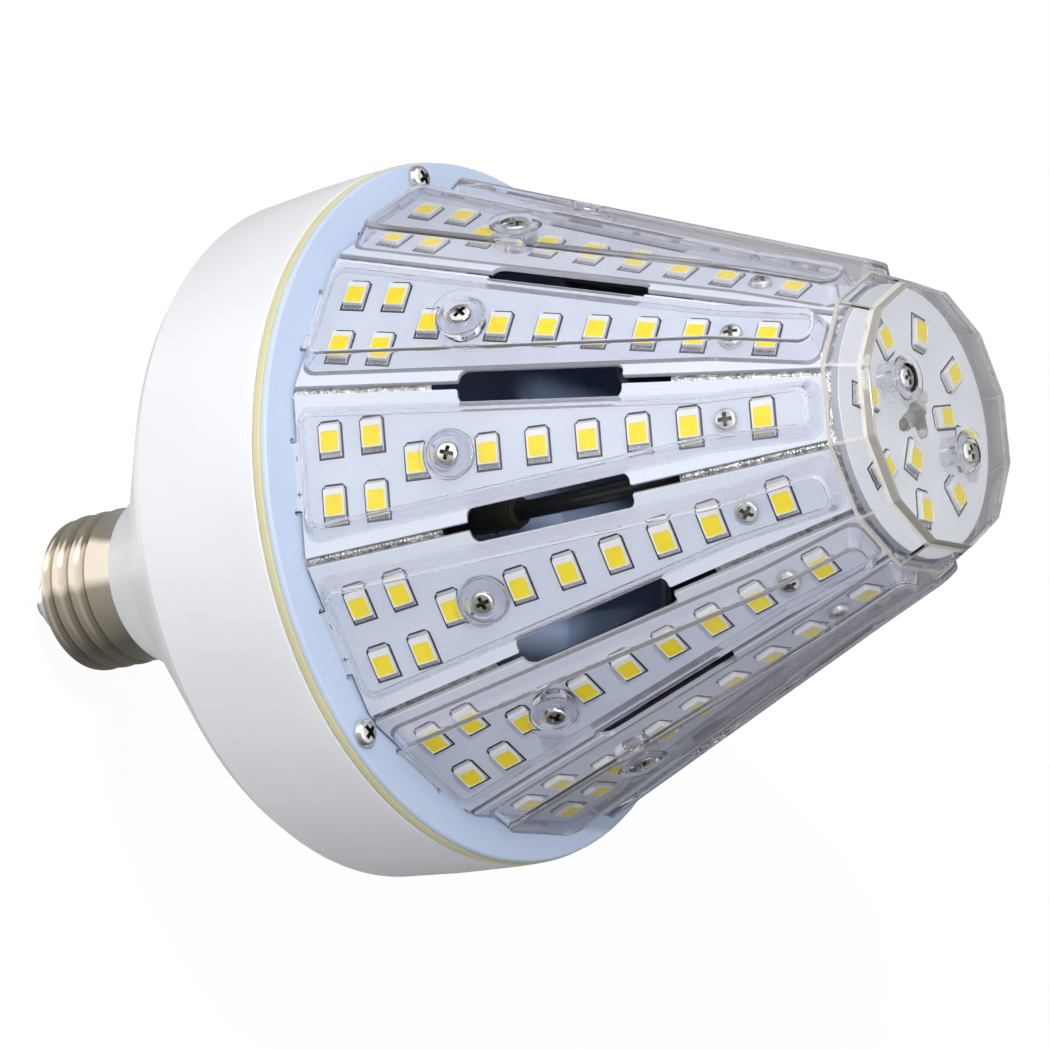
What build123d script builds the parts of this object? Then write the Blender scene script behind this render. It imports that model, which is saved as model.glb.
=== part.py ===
from build123d import *
from math import atan2, cos, degrees, pi, radians, sin, tan
import os

os.makedirs("parts", exist_ok=True)

# Sizes are in millimetres. +Z runs from the screw base to the lit end, and the
# origin is on the axis where the lamp thread meets its plain skirt.

# Screw base, the standard 26 mm lamp thread
thread_r = 13.1
thread_depth = 0.85
thread_pitch = 3.629
thread_turns = 3
shell_wall = 0.6
skirt_len = 4.6
nose_len = 2.3
nose_draw = 2.6
insulator_len = 6.0
insulator_tip_r = 5.2
insulator_inset = 0.3
contact_r = 4.4
contact_h = 3.2
contact_draft = 32.0

# Moulded housing, from the neck up to the open rim
spigot_len = 7.0
bore_r = 9.3
neck_lip = 0.95
neck_len = 8.1
neck_flare = 4.3
back_len = 33.1
shoulder_lip = 1.5
shoulder_bevel = 2.1
drum_len = 23.1
drum_draft = 1.0
housing_wall = 2.2
rim_boss_r = 2.3
rim_boss_len = 9.0

# Joint between the housing and the lamp cone
gasket_t = 1.5
gasket_ledge = 0.9
gasket_inset = 0.15
plate_t = 1.0
plate_inset = 0.35
plate_ledge = 2.4
flange_w = 6.0
rim_screws_count = 3
rim_screw_first = 75.0
rim_screw_edge = 2.8
rim_head_r = 2.1
rim_head_h = 1.7
rim_head_draft = 18.0
rim_shank_r = 1.2
rim_screw_len = 8.0

# Twelve-sided metal cone that carries the lamp boards
facets = 12
cone_base_r = 47.9
cone_top_r = 18.8
cone_h = 75.1
sheet_t = 0.8
cap_t = 1.5
slot_lo = 21.2
slot_hi = 57.0
slot_w = 5.9

# Lamp boards
board_t = 0.8
board_foot = 0.3
board_end_gap = 1.05
board_gap = 0.5
tab_half = 5.1
tab_drop = 1.0
tab_room = 0.4
notch_lo = 25.2
notch_hi = 49.8
notch_depth = 2.2
notch_corner = 1.1

# Lamp packages on each board
led_w = 3.1
led_l = 4.3
led_t = 0.8
row_start = 29.35
row_count = 5
led_end_gap = 8.64
screw_gap = 10.8
block_pitch = 6.45
block_half = 4.75

# Clear covers over the boards
lens_lo = 0.5
lens_end_gap = 0.7
lens_kink = 62.5
lens_side = 1.9
lens_end_side = 0.3
lens_corner = 1.3
lens_h = 3.9
lens_t = 1.2
lens_wall = 1.0
lens_draft = 21.5
boss_r = 3.3
sink_r = 2.3
sink_depth = 1.2

# Small screws
screw_head_r = 1.8
screw_head_h = 1.1
screw_shank_r = 0.9
screw_bite = 1.6
screw_fit = 0.1

# Sides of the many-sided pieces that stand for small or hidden round ones
head_sides = 8
shank_sides = 6
boss_sides = 8
inner_sides = 24

# Lit end
top_board_lip = 1.0
top_board_t = 1.2
top_hole_r = 2.2
top_ring_r = 13.3
top_ring_angles = [126.3, 169.7, 215.1, 262.0, 308.0, 356.0, 40.3, 83.0]
top_inner = [(7.4, 98.8), (6.4, 337.0)]
top_room = 3.4
top_lens_t = 1.6
top_lens_wall = 1.1
top_lens_gap = 0.45
top_lens_draft = 26.5
top_screw_r = 9.2
top_screw_turn = 60.0
top_boss_r = 2.8
top_head_r = 1.9
top_head_h = 1.2

# Driver inside the housing
driver_z = 33.0
driver_t = 1.6
driver_gap = 0.1
choke_l = 24.0
choke_w = 20.0
choke_h = 18.0
choke_x = -13.0
cap_r = 5.0
cap_h = 16.0
cap_x = 14.0
cap_y = 12.0
wire_r = 0.9
wire_spread = 4.0
cable_r = 1.5
cable_bend = 15.0
cable_side = 285.0
cable_foot_r = 12.0
cable_belly_r = 25.5
cable_stub = 0.6

# Levels and radii that follow from the sizes above
facet_turn = 360 / facets
half_turn = radians(facet_turn / 2)
slope = atan2(cone_base_r - cone_top_r, cone_h)
shell_bore_r = thread_r - thread_depth - shell_wall
thread_lo = -thread_turns * thread_pitch
nose_z = thread_lo - nose_len
nose_r = thread_r - nose_draw
nose_open_r = nose_r - shell_wall
tip_z = nose_z - insulator_len
back_z = skirt_len + neck_len
shoulder_z = back_z + back_len
drum_z = shoulder_z + shoulder_bevel
rim_z = drum_z + drum_len
rim_r = cone_base_r / cos(half_turn) + flange_w
drum_r = rim_r - drum_draft
neck_r = thread_r + neck_lip
waist_r = neck_r + neck_flare
gasket_top = rim_z + gasket_t
plate_top = gasket_top + plate_t
cone_top = plate_top + cone_h
rim_screw_ring = rim_r - rim_screw_edge
board_end = cone_h / cos(slope) - board_end_gap
lens_hi = board_end - lens_end_gap
top_board_r = cone_top_r + top_board_lip
lens_screw_y = row_start - screw_gap / 2
last_led_y = lens_hi - led_end_gap
row_end = last_led_y - screw_gap
row_pitch = (row_end - row_start) / (row_count - 1)
board_screw_y = row_end + screw_gap / 2
first_led_y = row_start - screw_gap
top_board_top = cone_top + top_board_t
top_face_in = top_board_top + top_room
top_face = top_face_in + top_lens_t


def facet_plane(k=0, lift=0.0):
    """Plane on facet k: x across the facet, y up its slope, z outwards."""
    turn = radians(k * facet_turn)
    out = Vector(cos(turn), sin(turn), 0)
    across = Vector(-sin(turn), cos(turn), 0)
    normal = out * cos(slope) + Vector(0, 0, sin(slope))
    foot = out * cone_base_r + Vector(0, 0, plate_top)
    return Plane(origin=foot + normal * lift, x_dir=across, z_dir=normal)


def corner_plane(k):
    """Plane square to the cone's corner k, with y up the corner's edge."""
    turn = radians((k + 0.5) * facet_turn)
    lean = atan2((cone_base_r - cone_top_r) / cos(half_turn), cone_h)
    out = Vector(cos(turn), sin(turn), 0)
    across = Vector(-sin(turn), cos(turn), 0)
    normal = out * cos(lean) + Vector(0, 0, sin(lean))
    foot = out * (cone_base_r / cos(half_turn)) + Vector(0, 0, plate_top)
    return Plane(origin=foot, x_dir=across, z_dir=normal)


def corner_y(y):
    """Distance up a corner's edge that is level with y on a facet."""
    lean = atan2((cone_base_r - cone_top_r) / cos(half_turn), cone_h)
    return y * cos(slope) / cos(lean)


def board_half(y):
    """Half the width of a lamp board at y up the slope."""
    return (cone_base_r - y * sin(slope)) * tan(half_turn) - board_gap


# Nickel-plated screw shell: a thin cup whose wall stands at the thread's crests
with BuildPart() as screw_shell:
    with BuildSketch(Plane.XZ):
        with BuildLine():
            Polyline(
                (shell_bore_r, skirt_len),
                (thread_r, skirt_len),
                (thread_r, thread_lo),
                (nose_r, nose_z),
                (nose_open_r, nose_z),
                (nose_open_r, thread_lo),
                (shell_bore_r, thread_lo),
                close=True,
            )
        make_face()
    revolve(axis=Axis.Z)
screw_shell.part.label = "screw_shell"
export_step(screw_shell.part, "parts/screw_shell.step")

# White insulator, a cone that closes the shell's nose
insulator_foot_r = nose_r - insulator_inset
insulator_apothem_in = (insulator_foot_r - insulator_tip_r) * cos(pi / inner_sides)
with BuildPart() as base_insulator:
    with BuildSketch(Plane.XY.offset(nose_z)):
        RegularPolygon(insulator_foot_r, inner_sides)
    extrude(amount=insulator_len, taper=degrees(atan2(insulator_apothem_in, insulator_len)))
    mirror(about=Plane.XY.offset(nose_z), mode=Mode.REPLACE)
base_insulator.part.label = "base_insulator"
export_step(base_insulator.part, "parts/base_insulator.step")

# Centre contact, a pressed button on the insulator
with BuildPart() as centre_contact:
    with BuildSketch(Plane.XY.offset(tip_z)):
        RegularPolygon(contact_r, inner_sides)
    extrude(amount=contact_h, taper=contact_draft)
    mirror(about=Plane.XY.offset(tip_z), mode=Mode.REPLACE)
centre_contact.part.label = "centre_contact"
export_step(centre_contact.part, "parts/centre_contact.step")

# Housing: spigot in the shell, flared neck, conical back, bevelled shoulder and drum
back_lean = atan2(drum_r - shoulder_lip - waist_r, back_len)
spigot_r = shell_bore_r - screw_fit
drum_bore_r = drum_r - housing_wall
seat_r = waist_r - housing_wall * cos(back_lean)
seat_z = back_z + housing_wall * sin(back_lean)
cavity_z = seat_z - (seat_r - bore_r) / tan(back_lean)
drum_floor_z = seat_z + (drum_bore_r - seat_r) / tan(back_lean)
cavity_draft = degrees(atan2(sin(back_lean) * cos(pi / inner_sides), cos(back_lean)))
with BuildPart() as housing_cavity:
    with BuildSketch(Plane.XY.offset(drum_floor_z)):
        RegularPolygon(drum_bore_r, inner_sides)
    extrude(amount=drum_floor_z - cavity_z, taper=cavity_draft)
    mirror(about=Plane.XY.offset(drum_floor_z), mode=Mode.REPLACE)
    with BuildSketch(Plane.XY.offset(drum_floor_z)):
        RegularPolygon(drum_bore_r, inner_sides)
    extrude(amount=rim_z - drum_floor_z)
    with BuildSketch(Plane.XY.offset(-spigot_len)):
        RegularPolygon(bore_r, inner_sides)
    extrude(amount=cavity_z + spigot_len)

with BuildPart() as housing:
    with BuildSketch(Plane.XZ):
        with BuildLine():
            Polyline(
                (0, -spigot_len),
                (spigot_r, -spigot_len),
                (spigot_r, skirt_len),
                (neck_r, skirt_len),
                (waist_r, back_z),
                (drum_r - shoulder_lip, shoulder_z),
                (drum_r, drum_z),
                (rim_r, rim_z),
                (0, rim_z),
                close=True,
            )
        make_face()
    revolve(axis=Axis.Z)
    add(housing_cavity.part, mode=Mode.SUBTRACT)
    with BuildSketch(Plane.XY.offset(rim_z)):
        with PolarLocations(rim_screw_ring, rim_screws_count, start_angle=rim_screw_first):
            RegularPolygon(rim_boss_r, boss_sides)
    extrude(amount=-rim_boss_len)
    with BuildSketch(Plane.XY.offset(rim_z)):
        with PolarLocations(rim_screw_ring, rim_screws_count, start_angle=rim_screw_first):
            RegularPolygon(rim_shank_r + screw_fit, shank_sides)
    extrude(amount=gasket_t + plate_t - rim_screw_len, mode=Mode.SUBTRACT)
housing.part.label = "housing"
export_step(housing.part, "parts/housing.step")

# Soft gasket between the housing's rim and the base plate
with BuildPart() as rim_gasket:
    with BuildSketch(Plane.XY.offset(rim_z)):
        Circle(rim_r - gasket_inset)
        RegularPolygon(
            radius=cone_base_r - gasket_ledge,
            side_count=facets,
            major_radius=False,
            rotation=facet_turn / 2,
            mode=Mode.SUBTRACT,
        )
        with PolarLocations(rim_screw_ring, rim_screws_count, start_angle=rim_screw_first):
            RegularPolygon(rim_shank_r + screw_fit, shank_sides, mode=Mode.SUBTRACT)
    extrude(amount=gasket_t)
rim_gasket.part.label = "rim_gasket"
export_step(rim_gasket.part, "parts/rim_gasket.step")

# White base plate with a window for the cone and a slot for each board's tab
tab_in = cone_base_r - tab_room
tab_out = cone_base_r + (tab_drop + plate_t) * sin(slope) + board_t / cos(slope) + tab_room
with BuildPart() as base_plate:
    with BuildSketch(Plane.XY.offset(gasket_top)):
        Circle(rim_r - plate_inset)
        RegularPolygon(
            radius=cone_base_r - sheet_t - plate_ledge,
            side_count=facets,
            major_radius=False,
            rotation=facet_turn / 2,
            mode=Mode.SUBTRACT,
        )
        with PolarLocations((tab_in + tab_out) / 2, facets):
            Rectangle(tab_out - tab_in, 2 * (tab_half + tab_room), mode=Mode.SUBTRACT)
        with PolarLocations(rim_screw_ring, rim_screws_count, start_angle=rim_screw_first):
            RegularPolygon(rim_shank_r + screw_fit, shank_sides, mode=Mode.SUBTRACT)
    extrude(amount=plate_t)
base_plate.part.label = "base_plate"
export_step(base_plate.part, "parts/base_plate.step")

# Rim screws: pan heads on the plate, shanks through the gasket into the housing
with BuildPart() as rim_screws:
    with BuildSketch(Plane.XY.offset(plate_top)):
        with PolarLocations(rim_screw_ring, rim_screws_count, start_angle=rim_screw_first):
            RegularPolygon(rim_head_r, head_sides)
    extrude(amount=rim_head_h, taper=rim_head_draft)
    with BuildSketch(Plane.XY.offset(plate_top)):
        with PolarLocations(rim_screw_ring, rim_screws_count, start_angle=rim_screw_first):
            RegularPolygon(rim_shank_r, shank_sides)
    extrude(amount=screw_fit - rim_screw_len)
rim_screws.part.label = "rim_screws"
export_step(rim_screws.part, "parts/rim_screws.step")

# Heat sink: a twelve-sided hollow cone with a long vent slot down each corner
sheet_in = sheet_t / cos(slope)
with BuildPart() as heat_sink:
    with BuildSketch(Plane.XY.offset(plate_top)):
        RegularPolygon(cone_base_r, facets, major_radius=False, rotation=facet_turn / 2)
    extrude(amount=cone_h, taper=degrees(slope))
    with BuildSketch(Plane.XY.offset(plate_top)):
        RegularPolygon(cone_base_r - sheet_in, facets, major_radius=False, rotation=facet_turn / 2)
    extrude(amount=cone_h - cap_t, taper=degrees(slope), mode=Mode.SUBTRACT)
    for k in range(facets):
        with BuildSketch(corner_plane(k)):
            with Locations((0, corner_y((slot_lo + slot_hi) / 2))):
                Rectangle(slot_w, corner_y(slot_hi - slot_lo))
        extrude(amount=4 * sheet_t, both=True, mode=Mode.SUBTRACT)
    with BuildSketch(Plane.XY.offset(cone_top)):
        RegularPolygon(top_hole_r, boss_sides)
        with PolarLocations(top_screw_r, 2, start_angle=top_screw_turn):
            RegularPolygon(screw_shank_r + screw_fit, shank_sides)
    extrude(amount=-2 * cap_t, mode=Mode.SUBTRACT)
heat_sink.part.label = "heat_sink"
export_step(heat_sink.part, "parts/heat_sink.step")

# One lamp board: a tapered strip with a foot tab and a vent notch in each long edge
with BuildPart() as led_board:
    with BuildSketch(facet_plane()) as board_face:
        Polygon(
            (-board_half(board_foot), board_foot),
            (board_half(board_foot), board_foot),
            (board_half(board_end), board_end),
            (-board_half(board_end), board_end),
            align=None,
        )
        for side in (-1, 1):
            Polygon(
                (side * (board_half(notch_lo) + board_gap), notch_lo),
                (side * (board_half(notch_lo) - notch_depth + notch_corner), notch_lo),
                (side * (board_half(notch_lo) - notch_depth), notch_lo + notch_corner),
                (side * (board_half(notch_hi) - notch_depth), notch_hi - notch_corner),
                (side * (board_half(notch_hi) - notch_depth + notch_corner), notch_hi),
                (side * (board_half(notch_hi) + board_gap), notch_hi),
                align=None,
                mode=Mode.SUBTRACT,
            )
        with Locations((0, board_foot)):
            Rectangle(2 * tab_half, 2 * (board_foot + tab_drop))
    extrude(amount=board_t)

# Lamp packages of one board: a block of four and a row of seven
with BuildPart() as board_leds:
    with BuildSketch(facet_plane(lift=board_t)):
        with Locations((0, first_led_y - 1.5 * block_pitch)):
            with GridLocations(2 * block_half, block_pitch, 2, 2):
                Rectangle(led_l, led_w)
        with Locations((0, (row_start + row_end) / 2)):
            with GridLocations(0, row_pitch, 1, row_count):
                Rectangle(led_l, led_w)
        with Locations((0, first_led_y), (0, last_led_y)):
            Rectangle(led_l, led_w)
    extrude(amount=led_t)

# Clear cover of one board: a drafted shallow box with a sunk screw boss
lens_lo_half = board_half(lens_lo) - lens_side
lens_hi_half = board_half(lens_hi) - lens_end_side
lens_points = [
    (-lens_lo_half, lens_lo),
    (lens_lo_half, lens_lo),
    (lens_hi_half, lens_kink),
    (lens_hi_half, lens_hi),
    (-lens_hi_half, lens_hi),
    (-lens_hi_half, lens_kink),
]
with BuildPart() as lens_cover:
    with BuildSketch(facet_plane(lift=board_t)) as lens_foot:
        Polygon(*lens_points, align=None)
        foot_rows = lens_foot.vertices().group_by(Axis.Z)
        chamfer(foot_rows[0] + foot_rows[-1], length=lens_corner)
    extrude(amount=lens_h, taper=lens_draft)
    with BuildSketch(facet_plane(lift=board_t)):
        Polygon(*lens_points, align=None)
        offset(amount=-lens_wall, kind=Kind.INTERSECTION)
    extrude(amount=lens_h - lens_t, taper=lens_draft, mode=Mode.SUBTRACT)
    with BuildSketch(facet_plane(lift=board_t)):
        with Locations((0, lens_screw_y)):
            RegularPolygon(boss_r, boss_sides)
    extrude(amount=lens_h - lens_t)
    with BuildSketch(facet_plane(lift=board_t + lens_h)):
        with Locations((0, lens_screw_y)):
            RegularPolygon(sink_r, boss_sides)
    extrude(amount=-sink_depth, mode=Mode.SUBTRACT)

for k in range(facets):
    around = Rot(0, 0, k * facet_turn)
    for piece, name in ((led_board, "led_board"), (board_leds, "board_leds"), (lens_cover, "lens_cover")):
        copy = around * piece.part
        copy.label = f"{name}_{k + 1:02d}"
        export_step(copy, f"parts/{copy.label}.step")

# Heads of the lens screws, sunk in the bosses, and of the board screws under the covers
with BuildPart() as lens_screws:
    for k in range(facets):
        with BuildSketch(facet_plane(k, board_t + lens_h - sink_depth)):
            with Locations((0, lens_screw_y)):
                RegularPolygon(screw_head_r, head_sides)
        extrude(amount=screw_head_h)
lens_screws.part.label = "lens_screws"
export_step(lens_screws.part, "parts/lens_screws.step")

with BuildPart() as board_screws:
    for k in range(facets):
        with BuildSketch(facet_plane(k, board_t)):
            with Locations((0, board_screw_y)):
                RegularPolygon(screw_head_r, head_sides)
        extrude(amount=screw_head_h)
board_screws.part.label = "board_screws"
export_step(board_screws.part, "parts/board_screws.step")

# Round lamp board on the cone's flat end
with BuildPart() as top_board:
    with BuildSketch(Plane.XY.offset(cone_top)):
        Circle(top_board_r)
        RegularPolygon(top_hole_r, boss_sides, mode=Mode.SUBTRACT)
        with PolarLocations(top_screw_r, 2, start_angle=top_screw_turn):
            RegularPolygon(screw_shank_r + screw_fit, shank_sides, mode=Mode.SUBTRACT)
    extrude(amount=top_board_t)
top_board.part.label = "top_board"
export_step(top_board.part, "parts/top_board.step")

# Lamp packages of the lit end, each pointing at the axis
top_places = [(top_ring_r, angle) for angle in top_ring_angles] + top_inner
with BuildPart() as top_leds:
    with BuildSketch(Plane.XY.offset(top_board_top)):
        for radius, angle in top_places:
            with PolarLocations(radius, 1, start_angle=angle):
                Rectangle(led_l, led_w)
    extrude(amount=led_t)
top_leds.part.label = "top_leds"
export_step(top_leds.part, "parts/top_leds.step")

# Clear cup over the lit end, with two screw bosses that stand on the board
top_skirt_r = top_board_r + top_lens_gap + top_lens_wall + top_board_t * tan(radians(top_lens_draft))
with BuildPart() as top_cover:
    with BuildSketch(Plane.XY.offset(cone_top)):
        RegularPolygon(top_skirt_r, facets, major_radius=False, rotation=facet_turn / 2)
    extrude(amount=top_face - cone_top, taper=top_lens_draft)
    with BuildSketch(Plane.XY.offset(cone_top)):
        RegularPolygon(top_skirt_r - top_lens_wall, facets, major_radius=False, rotation=facet_turn / 2)
    extrude(amount=top_face_in - cone_top, taper=top_lens_draft, mode=Mode.SUBTRACT)
    with BuildSketch(Plane.XY.offset(top_board_top)):
        with PolarLocations(top_screw_r, 2, start_angle=top_screw_turn):
            RegularPolygon(top_boss_r, boss_sides)
    extrude(amount=top_room)
    with BuildSketch(Plane.XY.offset(top_face)):
        with PolarLocations(top_screw_r, 2, start_angle=top_screw_turn):
            RegularPolygon(top_head_r + 2 * screw_fit, head_sides)
    extrude(amount=-top_head_h, mode=Mode.SUBTRACT)
    with BuildSketch(Plane.XY.offset(top_board_top)):
        with PolarLocations(top_screw_r, 2, start_angle=top_screw_turn):
            RegularPolygon(screw_shank_r + screw_fit, shank_sides)
    extrude(amount=top_room + top_lens_t, mode=Mode.SUBTRACT)
top_cover.part.label = "top_cover"
export_step(top_cover.part, "parts/top_cover.step")

# Screws of the clear cup
with BuildPart() as top_screws:
    with BuildSketch(Plane.XY.offset(top_face - top_head_h)):
        with PolarLocations(top_screw_r, 2, start_angle=top_screw_turn):
            RegularPolygon(top_head_r, head_sides)
    extrude(amount=top_head_h)
    with BuildSketch(Plane.XY.offset(top_face - top_head_h)):
        with PolarLocations(top_screw_r, 2, start_angle=top_screw_turn):
            RegularPolygon(screw_shank_r, shank_sides)
    extrude(amount=-(top_lens_t - top_head_h + top_room + top_board_t + cap_t + screw_bite))
top_screws.part.label = "top_screws"
export_step(top_screws.part, "parts/top_screws.step")

# Driver board, a disc that drops into the housing's conical back
driver_r = seat_r + (driver_z - seat_z) * tan(back_lean) - driver_gap
driver_top = driver_z + driver_t
with BuildPart() as driver_board:
    with BuildSketch(Plane.XY.offset(driver_z)):
        RegularPolygon(driver_r, inner_sides)
    extrude(amount=driver_t)
driver_board.part.label = "driver_board"
export_step(driver_board.part, "parts/driver_board.step")

# Transformer and two reservoir capacitors on the driver board
with BuildPart() as driver_transformer:
    with BuildSketch(Plane.XY.offset(driver_top)):
        with Locations((choke_x, 0)):
            Rectangle(choke_l, choke_w)
    extrude(amount=choke_h)
    chamfer(driver_transformer.edges().filter_by(Axis.Z), length=choke_w / 10)
driver_transformer.part.label = "driver_transformer"
export_step(driver_transformer.part, "parts/driver_transformer.step")

with BuildPart() as driver_capacitors:
    with BuildSketch(Plane.XY.offset(driver_top)):
        with Locations((cap_x, cap_y), (cap_x, -cap_y)):
            RegularPolygon(cap_r, facets)
    extrude(amount=cap_h)
driver_capacitors.part.label = "driver_capacitors"
export_step(driver_capacitors.part, "parts/driver_capacitors.step")

# Supply wires from the screw base up to the driver board
with BuildPart() as supply_wires:
    with BuildSketch(Plane.XY.offset(nose_z)):
        with Locations((wire_spread, 0), (-wire_spread, 0)):
            RegularPolygon(wire_r, shank_sides)
    extrude(amount=driver_z - nose_z)
supply_wires.part.label = "supply_wires"
export_step(supply_wires.part, "parts/supply_wires.step")

# Lamp cable: from the driver board, past a vent slot, to the hole in the lit end
cable_turn = radians(cable_side)
cable_out = Vector(cos(cable_turn), sin(cable_turn), 0)
cable_points = [
    cable_out * cable_foot_r + Vector(0, 0, driver_top),
    cable_out * cable_foot_r + Vector(0, 0, rim_z - cable_bend),
    cable_out * cable_belly_r + Vector(0, 0, plate_top + slot_lo),
    cable_out * cable_belly_r + Vector(0, 0, cone_top - 2 * cable_bend),
    Vector(0, 0, top_board_top - cable_bend),
    Vector(0, 0, top_board_top + cable_stub),
]
with BuildPart() as lamp_cable:
    with BuildLine() as cable_path:
        FilletPolyline(*cable_points, radius=cable_bend)
    with BuildSketch(Plane(origin=cable_points[0])):
        RegularPolygon(cable_r, shank_sides)
    sweep()
lamp_cable.part.label = "lamp_cable"
export_step(lamp_cable.part, "parts/lamp_cable.step")
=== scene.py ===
import math
import random

import bmesh
import bpy
from mathutils import Matrix, Vector

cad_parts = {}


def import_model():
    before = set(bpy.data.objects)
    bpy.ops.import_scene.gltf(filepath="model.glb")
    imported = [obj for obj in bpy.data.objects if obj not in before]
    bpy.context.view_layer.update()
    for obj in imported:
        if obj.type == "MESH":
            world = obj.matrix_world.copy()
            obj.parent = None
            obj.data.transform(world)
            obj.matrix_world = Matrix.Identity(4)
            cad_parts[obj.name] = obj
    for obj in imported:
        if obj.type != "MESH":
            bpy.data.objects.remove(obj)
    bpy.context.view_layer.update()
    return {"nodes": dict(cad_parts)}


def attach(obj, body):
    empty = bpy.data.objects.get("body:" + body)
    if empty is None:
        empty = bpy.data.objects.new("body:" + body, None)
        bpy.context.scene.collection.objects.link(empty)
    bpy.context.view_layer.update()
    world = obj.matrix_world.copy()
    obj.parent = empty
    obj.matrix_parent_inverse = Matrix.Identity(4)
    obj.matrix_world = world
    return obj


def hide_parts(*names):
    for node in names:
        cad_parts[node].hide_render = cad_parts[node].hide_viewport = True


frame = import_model()

MM = 0.001
TAU = 2 * math.pi
rng = random.Random(11)

# Sizes of the screw base, in millimetres as all sizes are
THREAD_R = 13.1
THREAD_DEPTH = 0.85
THREAD_PITCH = 3.629
THREAD_LO = -3 * THREAD_PITCH
THREAD_TOP = -0.5
RUNOUT_TOP = 1.5
RUNOUT_LOW = 1.6
SHELL_LO = THREAD_LO - 0.4
SHELL_BORE_R = 11.7
SKIRT_LEN = 4.6
SKIRT_FLARE = 0.85
NOSE_R = 10.5
NOSE_HOLE_R = 9.9
NOSE_Z = THREAD_LO - 2.3
TIP_Z = NOSE_Z - 6.0

# Rim, gasket, base plate and cone
RIM_Z = 71.0
GASKET_TOP = 72.5
GASKET_IN_R = 50.0
PLATE_TOP = 73.5
PLATE_IN_R = 46.4
TAB_SLOT_HALF = 5.3
TAB_SLOT_R = (47.6, 49.1)
RELIEF_R = 0.5
FACETS = 12
CONE_R = 47.9
CONE_TOP_R = 18.8
CONE_H = 75.1
HALF = math.pi / FACETS
SLOPE = math.atan2(CONE_R - CONE_TOP_R, CONE_H)
RIM_R = CONE_R / math.cos(HALF) + 5.97
CONE_TOP = PLATE_TOP + CONE_H

# Lamp boards, lamp packages and covers, with y up the slope
BOARD_T = 0.8
BOARD_FOOT = 0.3
BOARD_END = 79.49
TAB_HALF = 5.1
TAB_LO = -1.0
NOTCH_LO = 25.2
NOTCH_HI = 49.8
NOTCH_DEPTH = 2.2
LED_W = 3.1
LED_L = 4.3
LED_H = 0.8
INK_H = 0.012
LENS_LO = 0.5
LENS_HI = 78.79
LENS_WAIST = 62.5
LENS_SIDE = 1.9
LENS_END_SIDE = 0.3
LENS_DRAFT = math.tan(math.radians(21.5))
LENS_SCREW_Y = 23.95
BOARD_SCREW_Y = 64.75
LENS_H = 3.9
LENS_ROOF = LENS_H - 1.2
LENS_WALL = 1.0
LENS_BOSS = {"post": 3.3, "flare": 0.8, "dish": 4.15, "sink": 2.3, "lip": 0.3, "bore": 1.1}
SINK_DEPTH = 1.2
DISH_DEPTH = 0.1
SEAT_GAP = 0.02
OVERLAP = 0.4

# Lit end: round board, its lamps and the cup
TOP_BOARD_R = 19.8
TOP_BOARD_T = 1.2
TOP_BOARD_Z = CONE_TOP + TOP_BOARD_T
TOP_ROOM = 3.4
TOP_FACE = TOP_BOARD_Z + 5.0
CUP_GAP = 0.45
CUP_WALL = 1.1
CUP_DRAFT = math.tan(math.radians(26.5))
CUP_RIM = 1.2
CUP_BOSS = {"post": 2.8, "flare": 0.7, "dish": 3.5, "sink": 2.1, "lip": 0.25, "bore": 1.0}
ARC_STEPS = 4
TOP_SCREWS = [(9.2, 60.0), (9.2, 240.0)]
TOP_LEDS = [(13.3, a) for a in (126.3, 169.7, 215.1, 262.0, 308.0, 356.0, 40.3, 83.0)]
TOP_LEDS += [(7.4, 98.8), (6.4, 337.0)]
LED_SPOTS = [(x, y) for y in (5.65, 12.1) for x in (-4.75, 4.75)]
LED_SPOTS += [(0.0, y) for y in (18.55, 29.35, 36.85, 44.35, 51.85, 59.35, 70.15)]

# Lamp cable, in the plane of one vent slot
CABLE_TURN = math.radians(285)
CABLE_R = 1.45
SLEEVE_R = 2.7

# Shading of the meshes, and the material places on boards and clear pieces
PARALLEL = 0.99999
PLATE_SHARE = 0.25
LARGE_FACE = 6 * MM * MM
MITRE_LIMIT = 0.35
INWARD = -0.3
FACE, EDGE, WALL, BOSS = range(4)


def board_half(y):
    """Half the width of a lamp board at y up the slope."""
    return (CONE_R - y * math.sin(SLOPE)) * math.tan(HALF) - 0.5


def facet(k, lift=0.0):
    """Matrix of facet k: x across it, y up its slope, z outwards."""
    turn = k * TAU / FACETS
    out = Vector((math.cos(turn), math.sin(turn), 0))
    across = Vector((-math.sin(turn), math.cos(turn), 0))
    normal = out * math.cos(SLOPE) + Vector((0, 0, math.sin(SLOPE)))
    up = normal.cross(across)
    spot = out * CONE_R + Vector((0, 0, PLATE_TOP)) + normal * lift
    return Matrix((
        (across.x, up.x, normal.x, spot.x),
        (across.y, up.y, normal.y, spot.y),
        (across.z, up.z, normal.z, spot.z),
        (0, 0, 0, 1),
    ))


def polar(radius, angle, z):
    """Matrix at a polar place, with x pointing away from the axis."""
    turn = math.radians(angle)
    spot = Vector((radius * math.cos(turn), radius * math.sin(turn), z))
    return Matrix.Translation(spot) @ Matrix.Rotation(turn, 4, "Z")


# Mesh making, all in millimetres until the mesh is made
def circle(radius, z, segs, x=0.0, y=0.0):
    """Ring of points about an upright axis."""
    turns = [TAU * j / segs for j in range(segs)]
    return [(x + radius * math.cos(a), y + radius * math.sin(a), z) for a in turns]


def raised(outline, z):
    """Flat outline at a height."""
    return [(p.x, p.y, z) for p in outline]


def edge_round(radius, lean, steps):
    """(inwards, upwards) stops of a rounded edge that turns by lean."""
    turns = [lean * i / steps for i in range(1, steps + 1)]
    return [(radius * (1 - math.cos(a)), radius * math.sin(a) / math.sin(lean)) for a in turns]


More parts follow.
